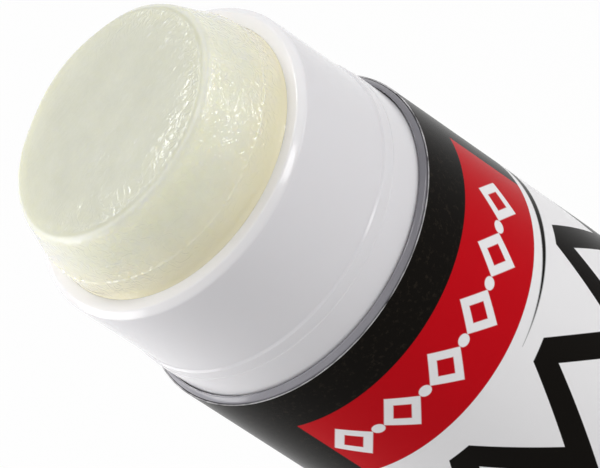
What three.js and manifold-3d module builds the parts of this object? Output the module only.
// A twist-up glue stick with its cap taken off, in millimetres.
// It stands on z = 0 on its knob, with its axis on +Z. The cap stands beside it, mouth down.
// Turning the knob turns a coarse left-hand screw, and a carrier that can't turn climbs it
// and pushes the glue out of the neck.
import * as THREE from "three";
import { mergeVertices } from "three/addons/utils/BufferGeometryUtils.js";
import Module from "manifold-3d";

const wasm = await Module();
wasm.setup();

// Knob and the gap above it
const knobHeight = 9.0;
const knobInset = 0.4; // the knob is this much slimmer than the printed body
const knobFloor = 1.6;
const knobGap = 0.4; // running gap between the knob and the barrel's flange
const fluteCount = 30;
const fluteDepth = 0.45;
const knobBevel = 0.5;
const hubWall = 1.8;

// Printed body: film on a clear sleeve on the white barrel
const bodyRadius = 13.0; // over the film
const filmThickness = 0.12;
const filmGap = 0.03;
const filmEnd = 0.3; // the film stops this short of the sleeve's foot
const sleeveWall = 0.4;
const sleeveLength = 60.0;
const sleeveCrown = 0.5; // the sleeve's top end is rounded over this height
const sleeveClearance = 0.15;
const seatGap = 0.1; // between the sleeve's foot and the flange that it stands on
const flangeThickness = 1.0;
const floorThickness = 1.6;

// Neck
const neckHeight = 12.8; // from the film's top edge to the rim
const neckWall = 1.4;
const bandClearance = 0.08; // the neck's foot band is this much slimmer than the sleeve's bore
const bandHeight = 3.5;
const bandChamfer = 0.4;
const neckStep = 0.23;
const lipRound = 0.8;

// Skirt under the barrel's floor, held in the knob by a bead behind a bead
const skirtInset = 1.4;
const skirtWall = 1.0;
const skirtGap = 1.6; // between the skirt's foot and the knob's floor
const beadHeight = 1.0;
const beadDepth = 0.35;
const beadGap = 0.3;
const snapClearance = 0.15;

// Guide ribs that keep the carrier from turning
const ribDepth = 0.4;
const ribWidth = 1.2;
const ribClearance = 0.2;
const ribStop = 2.0; // the ribs end this far below the neck

// Screw and nut
const pitch = 4.0;
const threadRadius = 3.2;
const coreRadius = 2.0;
const threadRootWidth = 1.8;
const threadTipWidth = 1.2;
const threadClearance = 0.3;
const screwBelowRim = 12.0;
const screwTip = 1.0;
const tailRadius = 2.8;
const tailClearance = 0.15;
const journalInset = 0.15; // the journal is this much slimmer than the thread
const collarRadius = 5.6;
const collarThickness = 0.9;

// Carrier
const carrierClearance = 0.2;
const carrierFloor = 1.6;
const cupDepth = 4.0;
const cupWall = 0.8;
const nutHeight = 8.0;
const nutWall = 1.7;
const floorGap = 0.3;

// Glue
const glueClearance = 0.1;
const glueRetracted = 2.4; // how far the face lies below the rim when wound right down
const glueStandOut = 6.3; // how far the face stands above the rim as photographed
const glueCollarHeight = 2.2;
const glueCollarInset = 0.12;
const glueLedge = 0.1;
const glueFaceRadius = 9.35;
const glueEdgeRound = 0.6;
const glueFaceDome = 0.1;
const glueFaceTilt = 5.1; // degrees, low at the back
const boreTopGap = 0.5;

// Cap
const capHeight = 20.0;
const capWall = 0.95;
const capRoof = 1.2;
const capClearance = 0.15;
const capTaper = 0.1;
const capRound = 1.2;
const plugClearance = 0.25;
const plugWall = 0.8;
const plugDepth = 1.5; // how far the cap's inner ring reaches into the neck when closed
const capDistance = 38.0;

// Facets
const roundSides = 48;
const stepsPerTurn = 12;

// Radii that follow from those sizes
const filmInner = bodyRadius - filmThickness;
const sleeveOuter = filmInner - filmGap;
const sleeveInner = sleeveOuter - sleeveWall;
const barrelRadius = sleeveInner - sleeveClearance;
const bandRadius = sleeveInner - bandClearance;
const neckRadius = bandRadius - neckStep;
const boreRadius = neckRadius - neckWall;
const skirtRadius = barrelRadius - skirtInset;
const knobRadius = bodyRadius - knobInset;
const knobInner = skirtRadius + beadDepth + snapClearance;
const knobBeadRadius = skirtRadius + 0.6 * beadDepth;
const glueRadius = boreRadius - glueClearance;
const carrierRadius = boreRadius - carrierClearance;
const cupRadius = carrierRadius - cupWall;
const nutBore = threadRadius + threadClearance;
const journalRadius = threadRadius - journalInset;
const nutRadius = nutBore + nutWall;
const socketRadius = tailRadius + tailClearance / Math.cos(Math.PI / 6);
const hubRadius = tailRadius + hubWall;
const capSeatRadius = bandRadius + capClearance;
const capRadius = capSeatRadius + capWall;

// Heights that follow from those sizes
const flangeBottom = knobHeight + knobGap;
const floorTop = flangeBottom + floorThickness;
const flangeTop = flangeBottom + flangeThickness;
const sleeveBottom = flangeTop + seatGap;
const shoulder = sleeveBottom + sleeveLength;
const rim = shoulder + neckHeight;
const skirtBottom = knobFloor + skirtGap;
const beadTop = skirtBottom + beadHeight;
const ribTop = shoulder - ribStop;
const hubTop = flangeBottom - collarThickness - 2 * threadClearance;
const collarTop = hubTop + seatGap + collarThickness;
const screwTop = rim - screwBelowRim;
const glueRise = glueRetracted + glueStandOut; // from wound right down to the photographed pose
const carrierBottom = floorTop + floorGap + glueRise;
const cupFloor = carrierBottom + carrierFloor;
const cupTop = cupFloor + cupDepth;
const nutTop = carrierBottom + nutHeight;
const glueBottom = cupFloor + glueClearance;
const glueFace = rim + glueStandOut;
const glueBoreTop = screwTop + boreTopGap + glueRise;
const glueSlotTop = ribTop + boreTopGap + glueRise;

const white = { color: 0xf2f1f2, roughness: 0.28 };
const clear = { color: 0x9a98a0, roughness: 0.15 };
const print = { color: 0x15110f, roughness: 0.25 };
const ivory = { color: 0xd9d9c6, roughness: 0.45 };

// A closed geometry, with only its positions, as a solid that can be joined and cut.
function solid(geometry) {
  const bare = new THREE.BufferGeometry();
  bare.setAttribute("position", geometry.getAttribute("position"));
  bare.setIndex(geometry.getIndex());
  const merged = mergeVertices(bare, 1e-4);
  return new wasm.Manifold(
    new wasm.Mesh({
      numProp: 3,
      vertProperties: merged.attributes.position.array,
      triVerts: new Uint32Array(merged.index.array),
    }),
  );
}

// A solid as a named mesh with its own plain material.
function piece(name, body, look) {
  const found = body.getMesh();
  const geometry = new THREE.BufferGeometry();
  geometry.setAttribute("position", new THREE.BufferAttribute(found.vertProperties, 3));
  geometry.setIndex(new THREE.BufferAttribute(found.triVerts, 1));
  geometry.computeVertexNormals();
  const mesh = new THREE.Mesh(geometry, new THREE.MeshStandardMaterial(look));
  mesh.name = name;
  return mesh;
}

// A profile of [radius, height] points, turned about Z. It runs with the solid on its left,
// and it either starts and ends on the axis or closes on its first point.
function turned(profile, sides = roundSides) {
  const points = profile.map(([r, z]) => new THREE.Vector2(r, z));
  const onAxis = profile[0][0] === 0;
  if (!onAxis) points.push(points[0].clone());
  const geometry = new THREE.LatheGeometry(points, sides);
  geometry.rotateX(Math.PI / 2);
  return solid(geometry);
}

// Points of a quarter-round edge between two directions, without its first point.
function rounded(centreR, centreZ, radius, fromAngle, toAngle, steps) {
  const points = [];
  for (let i = 1; i <= steps; i++) {
    const angle = fromAngle + ((toAngle - fromAngle) * i) / steps;
    points.push([centreR + radius * Math.cos(angle), centreZ + radius * Math.sin(angle)]);
  }
  return points;
}

// A box that runs outwards from the axis side of a wall, at the azimuth given in degrees.
function radialBox(innerR, outerR, width, fromZ, toZ, azimuth) {
  const geometry = new THREE.BoxGeometry(outerR - innerR, width, toZ - fromZ);
  geometry.translate((innerR + outerR) / 2, 0, (fromZ + toZ) / 2);
  geometry.rotateZ(THREE.MathUtils.degToRad(azimuth));
  return solid(geometry);
}

// A left-hand helical ridge of four-cornered section. halfWidth gives half its height along
// the axis at a radius, and shift moves the whole ridge up the axis.
function helix(innerR, outerR, halfWidth, fromZ, toZ, shift) {
  const steps = Math.round(((toZ - fromZ) / pitch) * stepsPerTurn);
  const positions = [];
  for (let i = 0; i <= steps; i++) {
    const z = fromZ + ((toZ - fromZ) * i) / steps;
    const angle = (-2 * Math.PI * (z - shift)) / pitch;
    for (const [r, side] of [[innerR, 1], [outerR, 1], [outerR, -1], [innerR, -1]]) {
      positions.push(r * Math.cos(angle), r * Math.sin(angle), z + side * halfWidth(r));
    }
  }
  const faces = [[0, 1, 2], [0, 2, 3]];
  const last = 4 * steps;
  faces.push([last + 2, last + 1, last], [last + 3, last + 2, last]);
  for (let i = 0; i < steps; i++) {
    for (let j = 0; j < 4; j++) {
      const a = 4 * i + j;
      const b = 4 * i + ((j + 1) % 4);
      faces.push([a, a + 4, b + 4], [a, b + 4, b]);
    }
  }
  const geometry = new THREE.BufferGeometry();
  geometry.setAttribute("position", new THREE.Float32BufferAttribute(positions, 3));
  geometry.setIndex(faces.flat());
  return solid(geometry);
}

// Half the axial width of the screw's thread at a radius.
function threadHalf(r) {
  const share = (r - coreRadius) / (threadRadius - coreRadius);
  return THREE.MathUtils.lerp(threadRootWidth, threadTipWidth, share) / 2;
}

// Half the axial width of the nut's ridge, which fills the groove between two turns.
function nutHalf(r) {
  return pitch / 2 - threadHalf(r) - threadClearance;
}

// The white tube: skirt, floor with the screw's hole, flange, body, foot band and neck.
function makeBarrel() {
  const halfTurn = Math.PI / 2;
  const tube = turned([
    [skirtRadius - skirtWall, skirtBottom],
    [skirtRadius, skirtBottom],
    [skirtRadius + beadDepth, skirtBottom + beadHeight / 3],
    [skirtRadius + beadDepth, beadTop - beadHeight / 3],
    [skirtRadius, beadTop],
    [skirtRadius, flangeBottom],
    [sleeveOuter, flangeBottom],
    [sleeveOuter, flangeTop],
    [barrelRadius, flangeTop],
    [barrelRadius, shoulder - bandChamfer],
    [bandRadius, shoulder],
    [bandRadius, shoulder + bandHeight],
    [neckRadius, shoulder + bandHeight + bandChamfer],
    [neckRadius, rim - lipRound],
    ...rounded(neckRadius - lipRound, rim - lipRound, lipRound, 0, halfTurn, 3),
    [boreRadius + lipRound / 4, rim],
    [boreRadius, rim - lipRound / 4],
    [boreRadius, floorTop],
    [nutBore, floorTop],
    [nutBore, flangeBottom],
    [skirtRadius - skirtWall, flangeBottom],
  ]);
  let barrel = tube;
  for (const azimuth of [0, 180]) {
    const inner = boreRadius - ribDepth;
    const outer = boreRadius + neckWall / 2;
    barrel = barrel.add(radialBox(inner, outer, ribWidth, floorTop - 0.5, ribTop, azimuth));
  }
  return piece("barrel", barrel, white);
}

// The clear outer tube, whose rounded top end shows as the grey ring at the neck's foot.
function makeSleeve() {
  const sleeve = turned([
    [sleeveInner, sleeveBottom],
    [sleeveOuter, sleeveBottom],
    [sleeveOuter, shoulder],
    [sleeveOuter - sleeveWall / 3, shoulder + 0.7 * sleeveCrown],
    [sleeveInner + sleeveWall / 4, shoulder + sleeveCrown],
    [sleeveInner, shoulder + sleeveCrown],
  ]);
  return piece("clear_sleeve", sleeve, clear);
}

// The printed film round the sleeve.
function makeFilm() {
  const film = turned([
    [filmInner, sleeveBottom + filmEnd],
    [bodyRadius, sleeveBottom + filmEnd],
    [bodyRadius, shoulder],
    [filmInner, shoulder],
  ]);
  return piece("label_film", film, print);
}

// The glue as cast: its foot fills the cup, its bore clears the screw, its side has two
// slots for the guide ribs, and its face leans back.
function makeGlue() {
  const halfTurn = Math.PI / 2;
  const edgeR = glueFaceRadius - glueEdgeRound;
  const edgeZ = glueFace - glueEdgeRound;
  const collarR = glueRadius - glueCollarInset;
  const profile = [
    [0, glueBoreTop],
    [nutBore, glueBoreTop],
    [nutBore, nutTop + glueClearance],
    [nutRadius + glueClearance, nutTop + glueClearance],
    [nutRadius + glueClearance, glueBottom],
    [cupRadius - glueClearance, glueBottom],
    [cupRadius - glueClearance, cupTop + glueClearance],
    [glueRadius, cupTop + glueClearance],
    [glueRadius, rim],
    [collarR, rim + glueCollarHeight],
    [collarR - glueLedge, rim + glueCollarHeight],
    [glueFaceRadius, edgeZ],
    ...rounded(edgeR, edgeZ, glueEdgeRound, 0, halfTurn, 3),
    [edgeR / 2, glueFace + 0.75 * glueFaceDome],
    [0, glueFace + glueFaceDome],
  ];
  const points = profile.map(([r, z]) => new THREE.Vector2(r, z));
  const geometry = new THREE.LatheGeometry(points, roundSides);
  geometry.rotateX(Math.PI / 2);
  const slope = Math.tan(THREE.MathUtils.degToRad(glueFaceTilt));
  const leanFrom = rim + glueCollarHeight + 0.01;
  const place = geometry.getAttribute("position");
  for (let i = 0; i < place.count; i++) {
    if (place.getZ(i) < leanFrom) continue;
    place.setZ(i, place.getZ(i) - slope * place.getY(i));
  }
  let glue = solid(geometry);
  for (const azimuth of [0, 180]) {
    const inner = boreRadius - ribDepth - ribClearance;
    const width = ribWidth + 2 * ribClearance;
    const slot = radialBox(inner, boreRadius + 1, width, glueBottom - 1, glueSlotTop, azimuth);
    glue = glue.subtract(slot);
  }
  return piece("glue_block", glue, ivory);
}

// The cup that holds the glue's foot, with the nut in its middle and a notch for each rib.
function makeCarrier() {
  let carrier = turned([
    [nutBore, carrierBottom],
    [carrierRadius, carrierBottom],
    [carrierRadius, cupTop],
    [cupRadius, cupTop],
    [cupRadius, cupFloor],
    [nutRadius, cupFloor],
    [nutRadius, nutTop],
    [nutBore, nutTop],
  ]);
  const facetShift = pitch / roundSides / 2; // keeps the ridge's corners off the bore's edges
  const ridgeStart = carrierBottom + (nutHeight - pitch) / 2 + facetShift;
  const inner = coreRadius + threadClearance;
  const outer = nutBore + nutWall / 4;
  const ridge = helix(inner, outer, nutHalf, ridgeStart, ridgeStart + pitch, pitch / 2);
  carrier = carrier.add(ridge);
  for (const azimuth of [0, 180]) {
    const notch = boreRadius - ribDepth - ribClearance;
    const width = ribWidth + 2 * ribClearance;
    carrier = carrier.subtract(
      radialBox(notch, boreRadius + 1, width, carrierBottom - 1, cupTop + 1, azimuth),
    );
  }
  return piece("carrier", carrier, white);
}

// The screw: six-sided tail in the knob's socket, collar under the barrel's floor, journal
// through the floor, and a long core with a left-hand thread.
function makeScrew() {
  const tail = turned(
    [
      [0, knobFloor + threadClearance],
      [tailRadius, knobFloor + threadClearance],
      [tailRadius, collarTop - collarThickness / 2],
      [0, collarTop - collarThickness / 2],
    ],
    6,
  );
  const journalTop = floorTop + floorGap;
  const shaft = turned([
    [0, collarTop - collarThickness],
    [collarRadius, collarTop - collarThickness],
    [collarRadius, collarTop],
    [journalRadius, collarTop],
    [journalRadius, journalTop],
    [coreRadius, journalTop],
    [coreRadius, screwTop - screwTip],
    [coreRadius / 2, screwTop],
    [0, screwTop],
  ], 2 * stepsPerTurn);
  const threadStart = journalTop + threadRootWidth / 2;
  const threadTop = screwTop - screwTip - threadRootWidth / 2;
  const thread = helix(coreRadius / 2, threadRadius, threadHalf, threadStart, threadTop, 0);
  return piece("screw", tail.add(shaft).add(thread), white);
}

// The fluted knob: a cup with a flat foot, a bead that holds the barrel's skirt, and a hub
// with the six-sided socket of the screw.
function makeKnob() {
  const outline = [];
  const points = 4 * fluteCount;
  const body = knobRadius - knobBevel;
  for (let i = 0; i < points; i++) {
    const angle = (2 * Math.PI * i) / points;
    const r = body - (i % 4 === 2 ? fluteDepth : i % 2 === 1 ? fluteDepth / 2 : 0);
    outline.push(new THREE.Vector2(r * Math.cos(angle), r * Math.sin(angle)));
  }
  const geometry = new THREE.ExtrudeGeometry(new THREE.Shape(outline), {
    depth: knobHeight - 2 * knobBevel,
    bevelEnabled: true,
    bevelThickness: knobBevel,
    bevelSize: knobBevel,
    bevelSegments: 2,
  });
  geometry.translate(0, 0, knobBevel);
  const beadBottom = beadTop + beadGap;
  const inside = turned([
    [0, hubTop],
    [hubRadius, hubTop],
    [hubRadius, knobFloor],
    [knobInner, knobFloor],
    [knobInner, beadBottom],
    [knobBeadRadius, beadBottom + beadHeight / 3],
    [knobBeadRadius, beadBottom + (2 * beadHeight) / 3],
    [knobInner, beadBottom + beadHeight],
    [knobInner, knobHeight + 1],
    [0, knobHeight + 1],
  ]);
  const socket = turned(
    [
      [0, knobFloor],
      [socketRadius, knobFloor],
      [socketRadius, hubTop + 1],
      [0, hubTop + 1],
    ],
    6,
  );
  return piece("twist_knob", solid(geometry).subtract(inside).subtract(socket), white);
}

// The push-on cap, standing mouth down beside the stick.
function makeCap() {
  const top = capHeight;
  const roofUnder = capHeight - capRoof;
  const plugOuter = boreRadius - plugClearance;
  const plugEnd = neckHeight - sleeveCrown - plugDepth;
  const topR = capRadius - capTaper;
  const halfTurn = Math.PI / 2;
  const cap = turned([
    [0, roofUnder],
    [plugOuter - plugWall, roofUnder],
    [plugOuter - plugWall, plugEnd],
    [plugOuter, plugEnd],
    [plugOuter, roofUnder],
    [capSeatRadius, roofUnder],
    [capSeatRadius, 0],
    [capRadius, 0],
    [topR, top - capRound],
    ...rounded(topR - capRound, top - capRound, capRound, 0, halfTurn, 3),
    [0, top],
  ]);
  const mesh = piece("cap", cap, white);
  mesh.position.set(capDistance, 0, 0);
  return mesh;
}

const stick = new THREE.Group();
stick.add(makeBarrel(), makeSleeve(), makeFilm());
const glueUnit = new THREE.Group();
glueUnit.add(makeGlue(), makeCarrier());
const knobUnit = new THREE.Group();
knobUnit.add(makeKnob(), makeScrew());
const glueStick = new THREE.Group();
glueStick.add(stick, glueUnit, knobUnit, makeCap());
export default glueStick;
